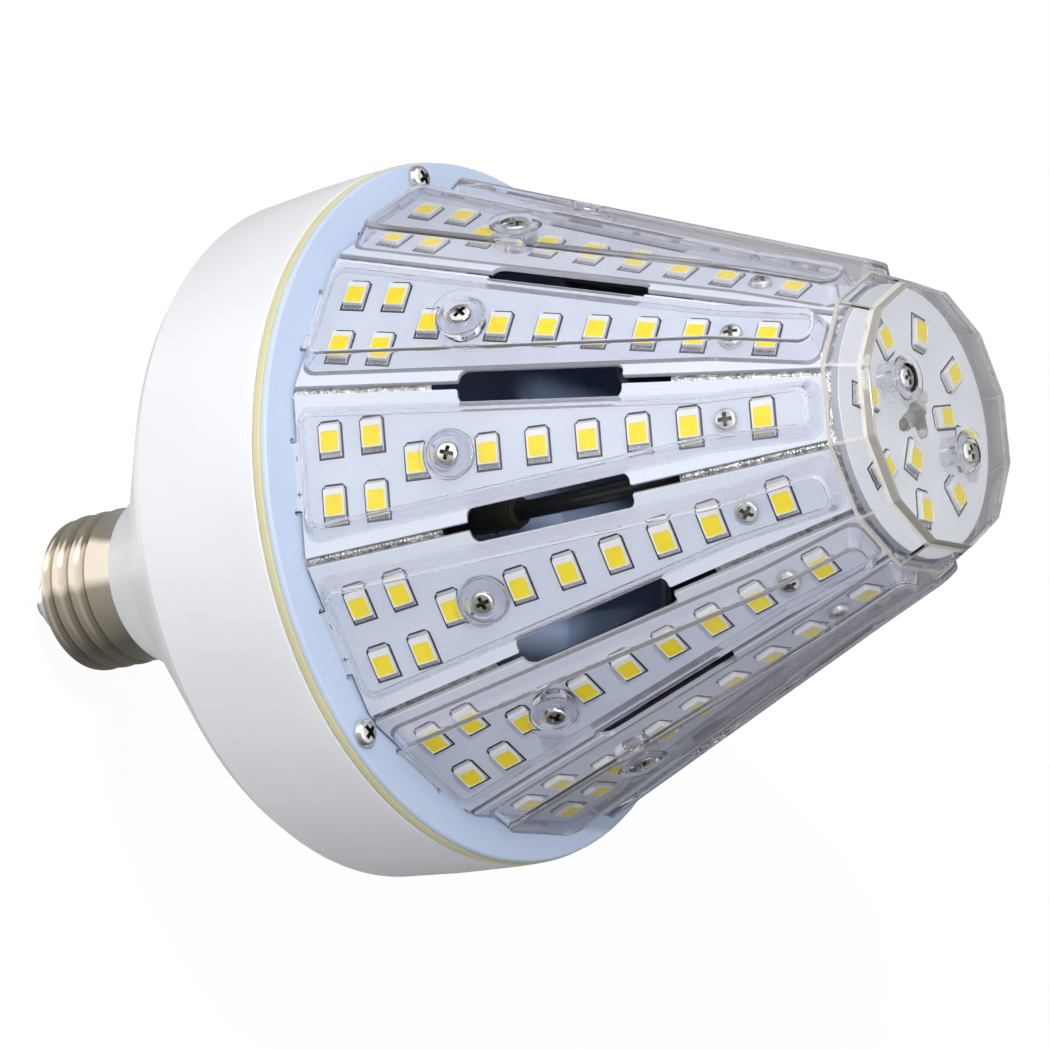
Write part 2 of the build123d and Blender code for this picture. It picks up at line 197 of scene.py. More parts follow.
def rounded(points, radii, steps=6, share=0.48):
    """Polygon or profile with an arc at each corner that has a radius."""
    out = []
    count = len(points)
    for i in range(count):
        p = Vector(points[i])
        radius = radii[i] if isinstance(radii, (list, tuple)) else radii
        if radius <= 0:
            out.append(p)
            continue
        u = Vector(points[i - 1]) - p
        v = Vector(points[(i + 1) % count]) - p
        room = share * min(u.length, v.length)
        u.normalize()
        v.normalize()
        half = u.angle(v) / 2
        cut = min(radius / math.tan(half), room)
        radius = cut * math.tan(half)
        centre = p + (u + v).normalized() * (radius / math.sin(half))
        first = p + u * cut - centre
        last = p + v * cut - centre
        a0 = math.atan2(first.y, first.x)
        sweep = (math.atan2(last.y, last.x) - a0 + math.pi) % TAU - math.pi
        for j in range(steps + 1):
            a = a0 + sweep * j / steps
            out.append(centre + Vector((radius * math.cos(a), radius * math.sin(a))))
    return out


def inset(outline, depth):
    """Outline moved inwards by depth, with mitred corners; it runs anticlockwise."""
    out = []
    count = len(outline)
    for i in range(count):
        p = Vector(outline[i])
        e1 = (p - Vector(outline[i - 1])).normalized()
        e2 = (Vector(outline[(i + 1) % count]) - p).normalized()
        n1 = Vector((-e1.y, e1.x))
        n2 = Vector((-e2.y, e2.x))
        m = (n1 + n2).normalized()
        out.append(p + m * (depth / max(MITRE_LIMIT, m.dot(n1))))
    return out


class Shape:
    """Vertices and faces with a material index for each face."""

    def __init__(self):
        self.verts = []
        self.faces = []
        self.slots = []

    def add(self, verts, faces, slot=0):
        base = len(self.verts)
        self.verts += [Vector(v) for v in verts]
        self.faces += [[base + i for i in f] for f in faces]
        self.slots += [slot] * len(faces)
        return self

    def rings(self, rings, slot=0, cap_lo=True, cap_hi=True, loop=False):
        """Skin over rings of as many points each."""
        n = len(rings[0])
        faces = []
        last = len(rings) if loop else len(rings) - 1
        for i in range(last):
            a = i * n
            b = ((i + 1) % len(rings)) * n
            for j in range(n):
                k = (j + 1) % n
                faces.append([a + j, a + k, b + k, b + j])
        if cap_lo and not loop:
            faces.append(list(range(n))[::-1])
        if cap_hi and not loop:
            top = (len(rings) - 1) * n
            faces.append([top + j for j in range(n)])
        return self.add([v for ring in rings for v in ring], faces, slot)

    def lathe(self, profile, segs=128):
        """Closed profile of (r, z) points turned about the axis."""
        n = len(profile)
        verts = []
        faces = []
        for i in range(segs):
            c, s = math.cos(TAU * i / segs), math.sin(TAU * i / segs)
            verts += [(p[0] * c, p[0] * s, p[1]) for p in profile]
        for i in range(segs):
            a, b = i * n, ((i + 1) % segs) * n
            for j in range(n):
                k = (j + 1) % n
                faces.append([a + j, b + j, b + k, a + k])
        return self.add(verts, faces)

    def stamp(self, other, matrix):
        """Adds a moved copy of another shape."""
        base = len(self.verts)
        self.verts += [matrix @ v for v in other.verts]
        self.faces += [[base + i for i in f] for f in other.faces]
        self.slots += other.slots
        return self

    def mesh(self, name, sharp=35.0, level=()):
        """Blender mesh in metres; its plates, and large faces of the slots in level, are shaded flat."""
        me = bpy.data.meshes.new(name)
        bm = bmesh.new()
        made = [bm.verts.new(v * MM) for v in self.verts]
        bm.verts.ensure_lookup_table()
        for f, slot in zip(self.faces, self.slots):
            try:
                face = bm.faces.new([made[i] for i in f])
            except ValueError:
                continue
            face.material_index = slot
            face.smooth = True
        bmesh.ops.remove_doubles(bm, verts=bm.verts, dist=1e-7)
        bmesh.ops.dissolve_degenerate(bm, edges=bm.edges, dist=1e-8)
        bmesh.ops.recalc_face_normals(bm, faces=bm.faces)
        areas = [face.calc_area() for face in bm.faces]
        plate = max(bm.faces, key=lambda face: face.calc_area()).normal.copy()
        along = [abs(face.normal.dot(plate)) > PARALLEL for face in bm.faces]
        plated = sum(a for a, yes in zip(areas, along) if yes) > PLATE_SHARE * sum(areas)
        flat = []
        for face, area, yes in zip(bm.faces, areas, along):
            flat.append((plated and yes) or (face.material_index in level and area > LARGE_FACE))
        bm.to_mesh(me)
        bm.free()
        me.set_sharp_from_angle(angle=math.radians(sharp))
        for face, yes in zip(me.polygons, flat):
            face.use_smooth = not yes
        return me


def cut(me, *tools):
    """Mesh after exact booleans with (operation, shape) tools."""
    holder = bpy.data.objects.new("cut_holder", me)
    bpy.context.scene.collection.objects.link(holder)
    helpers = []
    while len(me.materials) < 4:
        me.materials.append(None)
    for operation, shape in tools:
        helper = bpy.data.objects.new("cut_tool", shape.mesh("cut_tool"))
        while len(helper.data.materials) < 4:
            helper.data.materials.append(None)
        bpy.context.scene.collection.objects.link(helper)
        helpers.append(helper)
        mod = holder.modifiers.new("cut", "BOOLEAN")
        mod.operation = operation
        mod.solver = "EXACT"
        mod.object = helper
    bpy.context.view_layer.update()
    graph = bpy.context.evaluated_depsgraph_get()
    made = bpy.data.meshes.new_from_object(holder.evaluated_get(graph))
    for item in helpers + [holder]:
        bpy.data.objects.remove(item, do_unlink=True)
    return made


def read_back(me):
    """Shape in millimetres from a Blender mesh."""
    shape = Shape()
    shape.verts = [v.co / MM for v in me.vertices]
    shape.faces = [list(p.vertices) for p in me.polygons]
    shape.slots = [p.material_index for p in me.polygons]
    return shape


def piece(name, me, mats, nodes=()):
    """Object that rides with the lamp and stands for CAD nodes."""
    obj = bpy.data.objects.new(name, me)
    bpy.context.scene.collection.objects.link(obj)
    picks = [p.material_index for p in me.polygons]
    me.materials.clear()
    for m in mats:
        me.materials.append(m)
    if len(mats) > 1:
        me.polygons.foreach_set("material_index", picks)
    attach(obj, "root")
    if nodes:
        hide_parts(*nodes)
    return obj


# Materials
def srgb(r, g, b):
    """Linear colour from 0 to 255 screen values."""
    def lin(c):
        c /= 255
        return c / 12.92 if c <= 0.04045 else ((c + 0.055) / 1.055) ** 2.4
    return (lin(r), lin(g), lin(b), 1.0)


def wire(tree, kind, inputs=None, **props):
    """New node with its properties set, and its inputs linked to sockets or set to values."""
    n = tree.nodes.new(kind)
    for key, value in props.items():
        setattr(n, key, value)
    for key, value in (inputs or {}).items():
        if isinstance(value, bpy.types.NodeSocket):
            tree.links.new(value, n.inputs[key])
        else:
            n.inputs[key].default_value = value
    return n


def maths(tree, operation, *values):
    """Result of a Math node."""
    return wire(tree, "ShaderNodeMath", dict(enumerate(values)), operation=operation).outputs["Value"]


def vector_maths(tree, operation, *values):
    """Vector Math node."""
    return wire(tree, "ShaderNodeVectorMath", dict(enumerate(values)), operation=operation)


def ramp(tree, fac, stops):
    """Colour from a ramp through (position, colour) stops."""
    n = wire(tree, "ShaderNodeValToRGB", {"Fac": fac})
    while len(n.color_ramp.elements) < len(stops):
        n.color_ramp.elements.new(0.5)
    for e, (position, colour) in zip(n.color_ramp.elements, stops):
        e.position = position
        e.color = colour
    return n.outputs["Color"]


def span(tree, value, low, high, from_low=0.0, from_high=1.0):
    """Value moved from one range to another."""
    ends = {"From Min": from_low, "From Max": from_high, "To Min": low, "To Max": high}
    return wire(tree, "ShaderNodeMapRange", {"Value": value, **ends}).outputs["Result"]


def mixed(tree, share, first, second):
    """Blend of two shaders."""
    return wire(tree, "ShaderNodeMixShader", {"Fac": share, 1: first, 2: second}).outputs["Shader"]


class Paint:
    """Node material with a Principled shader and object-space noise."""

    def __init__(self, name):
        self.mat = bpy.data.materials.new(name)
        self.mat.use_nodes = True
        self.tree = self.mat.node_tree
        self.bsdf = self.tree.nodes["Principled BSDF"]
        self.place = self.node("ShaderNodeTexCoord").outputs["Object"]

    def node(self, kind, inputs=None, **props):
        return wire(self.tree, kind, inputs, **props)

    def link(self, a, b):
        self.tree.links.new(a, b)

    def noise(self, scale, detail=4.0, rough=0.55, stretch=None):
        place = self.place
        if stretch:
            place = self.node("ShaderNodeMapping", {"Vector": place, "Scale": stretch}).outputs["Vector"]
        values = {"Vector": place, "Scale": scale, "Detail": detail, "Roughness": rough}
        return self.node("ShaderNodeTexNoise", values).outputs["Fac"]

    def cells(self, scale):
        return self.node("ShaderNodeTexVoronoi", {"Vector": self.place, "Scale": scale}).outputs["Distance"]

    def colour(self, fac, *stops):
        self.link(ramp(self.tree, fac, stops), self.bsdf.inputs["Base Color"])

    def rough(self, fac, low, high):
        self.link(span(self.tree, fac, low, high, 0.3, 0.7), self.bsdf.inputs["Roughness"])

    def bump(self, fac, strength, distance):
        n = self.node("ShaderNodeBump", {"Height": fac, "Strength": strength, "Distance": distance})
        self.link(n.outputs["Normal"], self.bsdf.inputs["Normal"])

    def set(self, **values):
        for key, value in values.items():
            self.bsdf.inputs[key.replace("_", " ")].default_value = value

    def surface(self, shader):
        self.link(shader, self.tree.nodes["Material Output"].inputs["Surface"])


def plastic(name, dark, light, rough_low, rough_high, grain, bump):
    """Moulded or painted surface with slight tone and gloss changes."""
    p = Paint(name)
    fine = p.noise(grain, detail=1.5)
    p.colour(p.noise(28.0, detail=1.5), (0.3, dark), (0.7, light))
    p.rough(fine, rough_low, rough_high)
    p.bump(fine, bump, distance=0.0002)
    return p.mat


def metal(name, dark, light, rough_low, rough_high, grain, bump):
    """Plated metal with fine handling marks."""
    p = Paint(name)
    fine = p.noise(grain, detail=5.0, rough=0.6)
    p.colour(p.noise(60.0), (0.3, dark), (0.7, light))
    p.rough(fine, rough_low, rough_high)
    p.bump(fine, bump, distance=0.0001)
    p.set(Metallic=1.0)
    return p.mat


def clear_plastic(name, dark, light, veil_colour, rough_low, rough_high, haze=0.0, haze_colour=None):
    """Clear moulded plastic that lets lamp light through; haze is the share of milky surface."""
    p = Paint(name)
    wavy = p.noise(160.0, detail=1.0)
    body = p.node("ShaderNodeBsdfGlass", {
        "Color": ramp(p.tree, wavy, [(0.3, dark), (0.7, light)]),
        "Roughness": span(p.tree, wavy, rough_low, rough_high, 0.3, 0.7),
        "IOR": 1.49,
    }, distribution="GGX").outputs["BSDF"]
    if haze:
        p.set(Base_Color=haze_colour, Roughness=0.35)
        body = mixed(p.tree, haze, body, p.bsdf.outputs["BSDF"])
    else:
        p.tree.nodes.remove(p.bsdf)
    path = p.node("ShaderNodeLightPath").outputs
    veil = p.node("ShaderNodeBsdfTransparent", {"Color": veil_colour}).outputs["BSDF"]
    through = maths(p.tree, "MAXIMUM", path["Is Shadow Ray"], path["Is Diffuse Ray"])
    p.surface(mixed(p.tree, through, body, veil))
    return p.mat


def sink_metal():
    """Blasted aluminium cone: sparkling grains outside; inside, a dark non-metallic colour is painted as shade."""
    p = Paint("sink_metal")
    broad = p.noise(900.0, detail=6.0, rough=0.7)
    speck = ramp(p.tree, broad, [
        (0.35, srgb(116, 118, 120)), (0.5, srgb(172, 173, 174)), (0.66, srgb(226, 226, 224)),
    ])
    geo = p.node("ShaderNodeNewGeometry").outputs
    flat = vector_maths(p.tree, "MULTIPLY", geo["Position"], (1, 1, 0)).outputs["Vector"]
    facing = vector_maths(p.tree, "DOT_PRODUCT", flat, geo["True Normal"]).outputs["Value"]
    outside = span(p.tree, facing, 0.0, 1.0, from_low=-0.002, from_high=0.002)
    # Inward faces get a dark blue-grey colour in place of the metal: painted shade inside the cone.
    mix = p.node("ShaderNodeMix", {"Factor": outside, "A": srgb(38, 41, 50), "B": speck}, data_type="RGBA")
    p.link(mix.outputs["Result"], p.bsdf.inputs["Base Color"])
    p.link(outside, p.bsdf.inputs["Metallic"])
    p.rough(broad, 0.28, 0.55)
    p.bump(p.cells(2600.0), 0.55, distance=0.0002)
    return p.mat


def shell_metal():
    """Polished nickel with random stain mottling; the thread's roots are coloured darker as painted shade."""
    p = Paint("shell_nickel")
    flat = vector_maths(p.tree, "MULTIPLY", p.place, (1, 1, 0)).outputs["Vector"]
    reach = vector_maths(p.tree, "LENGTH", flat).outputs["Value"]
    crest = span(p.tree, reach, 0.0, 1.0, from_low=0.01222, from_high=0.01305)
    stain = p.noise(420.0, rough=0.65, stretch=(1, 1, 2.5))
    # Darker colour towards the thread's roots is painted shade; the stain noise varies the tone at random.
    p.colour(
        maths(p.tree, "MULTIPLY_ADD", stain, 0.5, crest),
        (0.2, srgb(178, 166, 150)), (0.6, srgb(196, 186, 170)), (1.0, srgb(210, 202, 188)),
    )
    p.rough(p.noise(1500.0, detail=3.0), 0.07, 0.13)
    p.bump(stain, 0.012, distance=0.0001)
    p.set(Metallic=1.0)
    return p.mat


def phosphor():
    """Yellow phosphor gel, a little paler where it is thin."""
    p = Paint("phosphor")
    p.colour(p.noise(420.0, detail=3.0), (0.25, srgb(252, 220, 10)), (0.75, srgb(255, 233, 34)))
    p.rough(p.noise(3000.0, detail=2.0), 0.35, 0.55)
    p.bump(p.noise(5200.0, detail=3.0), 0.12, distance=0.00006)
    p.set(Specular_IOR_Level=0.25)
    return p.mat


HOUSING = plastic("housing_white", srgb(226, 227, 231), srgb(235, 236, 239), 0.30, 0.40, 2400.0, 0.05)
# Inner faces of the housing: the white plastic coloured bluish and darker as painted shade.
HOUSING_IN_PAINTED_SHADE = plastic("housing_inside_painted_shade", srgb(166, 188, 232), srgb(176, 196, 236), 0.5, 0.65, 900.0, 0.1)
GASKET = plastic("gasket_foam", srgb(200, 194, 150), srgb(216, 211, 172), 0.55, 0.75, 1500.0, 0.3)
PLATE = plastic("plate_white", srgb(192, 207, 233), srgb(201, 215, 239), 0.32, 0.45, 1800.0, 0.06)
BOARD = plastic("board_white", srgb(205, 212, 226), srgb(213, 220, 232), 0.34, 0.48, 1300.0, 0.16)
TOP_WHITE = plastic("top_board_white", srgb(231, 234, 236), srgb(240, 241, 241), 0.36, 0.5, 1300.0, 0.14)
BOARD_EDGE = plastic("board_edge", srgb(158, 160, 170), srgb(192, 194, 204), 0.3, 0.45, 1900.0, 0.3)
GLUE = clear_plastic(
    "glue_clear", (0.86, 0.86, 0.84, 1), (0.92, 0.92, 0.9, 1), (0.9, 0.9, 0.88, 1), 0.03, 0.08,
    haze=0.14, haze_colour=srgb(216, 216, 208),
)
FLUX = plastic("solder_flux", srgb(58, 60, 42), srgb(112, 112, 92), 0.2, 0.4, 2200.0, 0.3)
SINK = sink_metal()
LED_BODY = plastic("led_body", srgb(228, 230, 230), srgb(242, 242, 240), 0.28, 0.4, 3000.0, 0.04)
PHOSPHOR = phosphor()
TIN = metal("terminal_tin", srgb(128, 130, 136), srgb(206, 208, 212), 0.18, 0.34, 2600.0, 0.15)
SOLDER = metal("solder_bright", srgb(196, 198, 202), srgb(226, 228, 230), 0.3, 0.45, 2600.0, 0.2)
LED_FINISH = [LED_BODY, PHOSPHOR, TIN, SOLDER]
INK = plastic("mark_ink", srgb(16, 18, 30), srgb(30, 32, 46), 0.5, 0.65, 4000.0, 0.05)
SCREW = metal("screw_steel", srgb(204, 204, 198), srgb(240, 240, 234), 0.1, 0.22, 1800.0, 0.06)
# Cross recesses: the screw steel darkened as painted shade.
RECESS_PAINTED_SHADE = metal("screw_recess_painted_shade", srgb(66, 66, 60), srgb(124, 124, 114), 0.2, 0.36, 2400.0, 0.1)
SHELL = shell_metal()
INSULATOR = plastic("insulator_white", srgb(226, 228, 233), srgb(236, 238, 242), 0.1, 0.18, 500.0, 0.006)
CONTACT = metal("contact_tin", srgb(206, 207, 210), srgb(228, 229, 231), 0.22, 0.32, 700.0, 0.02)
CLEAR = clear_plastic(
    "lens_clear", (0.945, 0.947, 0.965, 1), (0.965, 0.967, 0.98, 1), (0.965, 0.967, 0.975, 1), 0.008, 0.024,
)
CLEAR_EDGE = clear_plastic(
    "lens_edge", (0.95, 0.95, 0.965, 1), (0.975, 0.975, 0.985, 1), (0.93, 0.93, 0.945, 1), 0.03, 0.07,
    haze=0.24, haze_colour=srgb(232, 231, 236),
)
CLEAR_WALL = clear_plastic(
    "lens_wall", (0.945, 0.942, 0.96, 1), (0.962, 0.96, 0.974, 1), (0.955, 0.952, 0.965, 1), 0.02, 0.06,
    haze=0.08, haze_colour=srgb(220, 219, 230),
)
CLEAR_BOSS = clear_plastic(
    "lens_boss", (0.945, 0.947, 0.965, 1), (0.965, 0.967, 0.98, 1), (0.84, 0.84, 0.87, 1), 0.008, 0.024,
)
CUP_EDGE = clear_plastic(
    "cup_edge", (0.95, 0.95, 0.95, 1), (0.975, 0.975, 0.97, 1), (0.92, 0.92, 0.92, 1), 0.05, 0.12,
    haze=0.42, haze_colour=srgb(232, 228, 218),
)
LAMINATE = plastic("driver_laminate", srgb(28, 74, 44), srgb(40, 96, 58), 0.4, 0.55, 1400.0, 0.1)
TAPE = plastic("transformer_tape", srgb(178, 150, 44), srgb(206, 178, 70), 0.35, 0.5, 900.0, 0.1)
SLEEVE = plastic("capacitor_sleeve", srgb(14, 14, 16), srgb(30, 30, 34), 0.25, 0.35, 900.0, 0.05)
WIRE = plastic("wire_red", srgb(120, 22, 18), srgb(150, 34, 26), 0.4, 0.5, 1400.0, 0.05)
CABLE = plastic("cable_black", srgb(66, 68, 69), srgb(86, 88, 89), 0.2, 0.26, 300.0, 0.01)
SHRINK = plastic("sleeve_olive", srgb(92, 95, 79), srgb(114, 117, 98), 0.2, 0.3, 300.0, 0.03)

# Kept CAD solids
for node, mat in (
    ("heat_sink", SINK),
    ("driver_board", LAMINATE),
    ("driver_transformer", TAPE),
    ("driver_capacitors", SLEEVE),
    ("supply_wires", WIRE),
):
    slots = frame["nodes"][node].data.materials
    slots.clear()
    slots.append(mat)


# Screw base: rolled thread, insulator and contact
def share_of(value, length):
    """Share of a length that is reached, from 0 to 1."""
    return min(1.0, max(0.0, value / length))


def thread_radius(z, turn):
    """Crest-and-root wave of a right-handed rolled thread, faded at both ends."""
    phase = (z / THREAD_PITCH - turn / TAU) * TAU
    wave = 0.5 + 0.5 * math.cos(phase)
    fade = share_of(THREAD_TOP - z, RUNOUT_TOP) * share_of(z - THREAD_LO + 0.9, RUNOUT_LOW)
    fade = fade * fade * (3 - 2 * fade)
    base = THREAD_R - 0.2 + SKIRT_FLARE * (max(0.0, z) / SKIRT_LEN) ** 1.6
    low = THREAD_R - THREAD_DEPTH
    return base + (low + (THREAD_R - low) * wave - base) * fade


def screw_shell():
    segs, rows = 160, 96
    rings = []
    for i in range(rows + 1):
        z = SHELL_LO + (SKIRT_LEN - SHELL_LO) * i / rows
        ring = []
        for j in range(segs):
            a = TAU * j / segs
            r = thread_radius(z, a)
            ring.append((r * math.cos(a), r * math.sin(a), z))
        rings.append(ring)
    start = (NOSE_HOLE_R, NOSE_Z + 0.5)
    curl = rounded([start, (NOSE_HOLE_R, NOSE_Z), (NOSE_R, NOSE_Z), (12.6, SHELL_LO)], [0, 0.2, 0.5, 0], 4)
    bore = [(THREAD_R + 0.3, SKIRT_LEN), (SHELL_BORE_R, SKIRT_LEN - 0.3), (SHELL_BORE_R, SHELL_LO), start]
    nose = [circle(r, z, segs) for r, z in curl[:-1]]
    inner = [circle(r, z, segs) for r, z in bore]
    me = Shape().rings(nose + rings + inner, cap_lo=False, cap_hi=False).mesh("screw_shell_rolled", 50)
    piece("screw_shell_rolled", me, [SHELL], ["screw_shell"])


def turned(name, points, radii, mat, nodes, segs=128, sharp=30, inside=None):
    """Turned piece from a closed profile with rounded corners, and a second material on its inward faces (bluish
    painted shade on the housing).
    """
    profile = rounded(points, radii, 6)
    me = Shape().lathe(profile, segs).mesh(name, sharp)
    if inside:
        for face in me.polygons:
            if face.normal.xy.dot(face.center.xy) < INWARD * face.center.xy.length:
                face.material_index = 1
    piece(name, me, [mat, inside] if inside else [mat], nodes)


screw_shell()
turned(
    "base_insulator_glossy",
    [(0, NOSE_Z), (10.1, NOSE_Z), (10.0, NOSE_Z - 0.6), (5.2, TIP_Z), (0, TIP_Z)],
    [0, 0.1, 1.2, 0.5, 0], INSULATOR, ["base_insulator"],
)
turned(
    "centre_contact_button",
    [(0, TIP_Z), (4.35, TIP_Z), (4.35, TIP_Z - 0.7), (2.3, TIP_Z - 3.15), (0, TIP_Z - 3.18)],
    [0, 0.15, 0.5, 1.1, 0], CONTACT, ["centre_contact"], segs=96,
)

# Housing: neck, conical back, bevelled shoulder and slightly barrelled drum
turned(
    "housing_moulded",
    [
        (9.3, -7.0), (11.5, -7.0), (11.5, 4.65), (14.0, 4.65), (18.35, 12.7), (53.1, 45.8), (54.6, 47.9),
        (54.72, 50.0), (55.25, 58.0), (RIM_R, 68.5), (RIM_R, RIM_Z), (53.2, RIM_Z), (52.4, 49.4), (9.3, 6.8),
    ],
    [0, 0.3, 0, 0.5, 1.6, 0.4, 0.35, 0, 8.0, 6.0, 0.35, 0.2, 1.0, 0],
    HOUSING, ["housing"], segs=256, sharp=28, inside=HOUSING_IN_PAINTED_SHADE,
)
turned(
    "rim_gasket_soft",
    [(GASKET_IN_R, RIM_Z), (RIM_R - 0.05, RIM_Z), (RIM_R - 0.05, GASKET_TOP), (GASKET_IN_R, GASKET_TOP)],
    [0, 0.45, 0.45, 0], GASKET, ["rim_gasket"], segs=256,
)


# Base plate with tab slots and their corner reliefs
def column(radius, x, y, low, high, segs=56):
    """Round post or hole tool."""
    return Shape().rings([circle(radius, z, segs, x, y) for z in (low, high)])


def base_plate():
    edge = RIM_R - 0.3
    sharp = [(PLATE_IN_R, GASKET_TOP), (edge, GASKET_TOP), (edge, PLATE_TOP), (PLATE_IN_R, PLATE_TOP)]
    profile = rounded(sharp, [0, 0.15, 0.45, 0], 5)
    me = Shape().lathe(profile, 256).mesh("base_plate_pressed", 30)
    slots = Shape()
    reliefs = Shape()
    w = TAB_SLOT_HALF
    near, far = TAB_SLOT_R
    low, high = GASKET_TOP - 1.0, PLATE_TOP + 1.0
    outline = rounded([(near, -w), (far, -w), (far, w), (near, w)], 0.3, 4)
    one = Shape().rings([raised(outline, z) for z in (low, high)])
    for k in range(FACETS):
        turn = Matrix.Rotation(k * TAU / FACETS, 4, "Z")
        slots.stamp(one, turn)
        for y in (-w - 0.1, w + 0.1):
            reliefs.stamp(column(RELIEF_R, far - 0.2, y, low, high, 20), turn)
    made = read_back(cut(me, ("DIFFERENCE", slots), ("DIFFERENCE", reliefs)))
    piece("base_plate_pressed", made.mesh("base_plate_pressed", 30), [PLATE], ["base_plate"])


base_plate()


# Lamp boards
def board_outline():
    """Board outline, anticlockwise from the foot tab's right corner."""
    foot, low, high, end = [board_half(y) for y in (BOARD_FOOT, NOTCH_LO, NOTCH_HI, BOARD_END)]
    right = [
        (TAB_HALF, TAB_LO), (TAB_HALF, BOARD_FOOT), (foot, BOARD_FOOT), (low, NOTCH_LO),
        (low - NOTCH_DEPTH, NOTCH_LO), (high - NOTCH_DEPTH, NOTCH_HI), (high, NOTCH_HI), (end, BOARD_END),
    ]
    radii = [0.3, 0.35, 0.2, 0.3, 1.5, 1.5, 0.3, 0.25]
    left = [(-x, y) for x, y in reversed(right)]
    return rounded(right + left, radii + radii[::-1], 6, 0.8)


def slab(outline, low, high, edge):
    """Flat piece with a small rounded upper edge."""
    rings = [raised(outline, low)]
    for d, z in ((0.0, high - edge), (0.3 * edge, high - 0.3 * edge), (edge, high)):
        rings.append(raised(inset(outline, d), z))
    return Shape().rings(rings[:2], EDGE, cap_hi=False).rings(rings[1:], FACE, cap_lo=False)


def bar(x0, y0, x1, y1, low, high):
    """Flat bar."""
    return Shape().rings([[(x0, y0, z), (x1, y0, z), (x1, y1, z), (x0, y1, z)] for z in (low, high)])


def mark_ring(width, length, chamfer, line):
    """Printed outline round a lamp package, with two cut corners."""
    w, l, c = width / 2, length / 2, chamfer
    outer = [Vector(p) for p in ((l, -w), (l, w), (-l + c, w), (-l, w - c), (-l, -w + c), (-l + c, -w))]
    inner = inset(outer, line)
    rings = [raised(ring, z) for ring, z in ((outer, 0.0), (outer, INK_H), (inner, INK_H), (inner, 0.0))]
    return Shape().rings(rings, loop=True)


# One lamp package: x is across the board, with the wide terminal at +x
def led_shape():
    s = Shape()
    w, l, h = LED_W / 2, LED_L / 2, LED_H
    body = rounded([(-l, -w), (l - 0.22, -w), (l - 0.22, w), (-l, w)], 0.12, 3)
    lip = rounded([(-1.26, -1.34), (1.78, -1.34), (1.78, 1.34), (-1.26, 1.34)], 0.28, 3)
    floor = rounded([(-1.22, -1.3), (1.74, -1.3), (1.74, 1.3), (-1.22, 1.3)], 0.28, 3)
    rim = 0.06
    s.rings([
        raised(body, 0.08), raised(body, h - rim), raised(inset(body, rim), h),
        raised(lip, h), raised(floor, h - rim),
    ], cap_hi=False)
    s.add(raised(floor, h - 0.05), [list(range(len(floor)))], 1)
    for side, reach, slot in ((1, 0.5, 2), (-1, 0.46, 3)):
        x0, x1 = side * (l - 0.4), side * (l + reach)
        a, b = min(x0, x1), max(x0, x1)
        pad = rounded([(a, -1.45), (b, -1.45), (b, 1.45), (a, 1.45)], 0.12, 3)
        s.rings([raised(pad, 0.0), raised(pad, 0.05), raised(inset(pad, rim), 0.1)], slot)
    return s


LED = led_shape()
RING = mark_ring(3.86, 5.86, 0.66, 0.33)
BOARD_SHAPE = slab(board_outline(), 0.0, BOARD_T, 0.12)
LED_SET = Shape()
MARKS = Shape()
for x, y in LED_SPOTS:
    place = Matrix.Translation((x, y, 0))
    LED_SET.stamp(LED, place)
    MARKS.stamp(RING, place)
for sign in (
    bar(2.3, 0.09, 3.1, 0.21, 0, INK_H), bar(2.64, -0.25, 2.76, 0.55, 0, INK_H - 0.0002),
    bar(-3.1, 0.09, -2.3, 0.21, 0, INK_H),
):
    MARKS.stamp(sign, Matrix.Identity(4))


# Clear covers
LENS_FOOT_HALF = board_half(LENS_LO) - LENS_SIDE
LENS_END_HALF = board_half(LENS_HI) - LENS_END_SIDE
LENS_SHARP = [
    (-LENS_FOOT_HALF, LENS_LO), (LENS_FOOT_HALF, LENS_LO), (LENS_END_HALF, LENS_WAIST),
    (LENS_END_HALF, LENS_HI), (-LENS_END_HALF, LENS_HI), (-LENS_END_HALF, LENS_WAIST),
]


def lens_ring(depth, corner, z):
    """Ring of the cover at an inset from its foot."""
    bend = 9.0
    radii = [corner, corner, bend, corner, corner, bend]
    return raised(rounded(inset(LENS_SHARP, depth), radii, 7), z)


def flare(radius, x, y, low, high, reach, top, segs=56):
    """Round post that widens in a fillet under a face."""
    stops = [(radius, low), (radius, high - reach)]
    for i in range(1, 6):
        a = math.radians(18 * i)
        stops.append((radius + reach * (1 - math.cos(a)), high - reach + reach * math.sin(a)))
    stops.append((radius + reach, top))
    return Shape().rings([circle(r, z, segs, x, y) for r, z in stops], BOSS)


def sunk(radius, x, y, floor_z, top, lip, segs=56):
    """Tool for a flat-bottomed hole with a rounded mouth."""
    mouth = radius + lip
    stops = [(radius, floor_z), (radius, top - lip), (radius + 0.3 * lip, top - 0.3 * lip)]
    stops += [(mouth, top), (mouth, top + 1)]
    return Shape().rings([circle(r, z, segs, x, y) for r, z in stops])


def boss_tools(boss, x, y, low, roof, top):
    """Cuts that give a clear piece a flared post from low to its roof, sunk and bored from its top."""
    dish = top - DISH_DEPTH
    return [
        ("UNION", flare(boss["post"], x, y, low, roof, boss["flare"], roof + OVERLAP)),
        ("DIFFERENCE", column(boss["dish"], x, y, dish, top + 1)),
        ("DIFFERENCE", sunk(boss["sink"], x, y, top - SINK_DEPTH, dish, boss["lip"])),
        ("DIFFERENCE", column(boss["bore"], x, y, low - 1, top)),
    ]


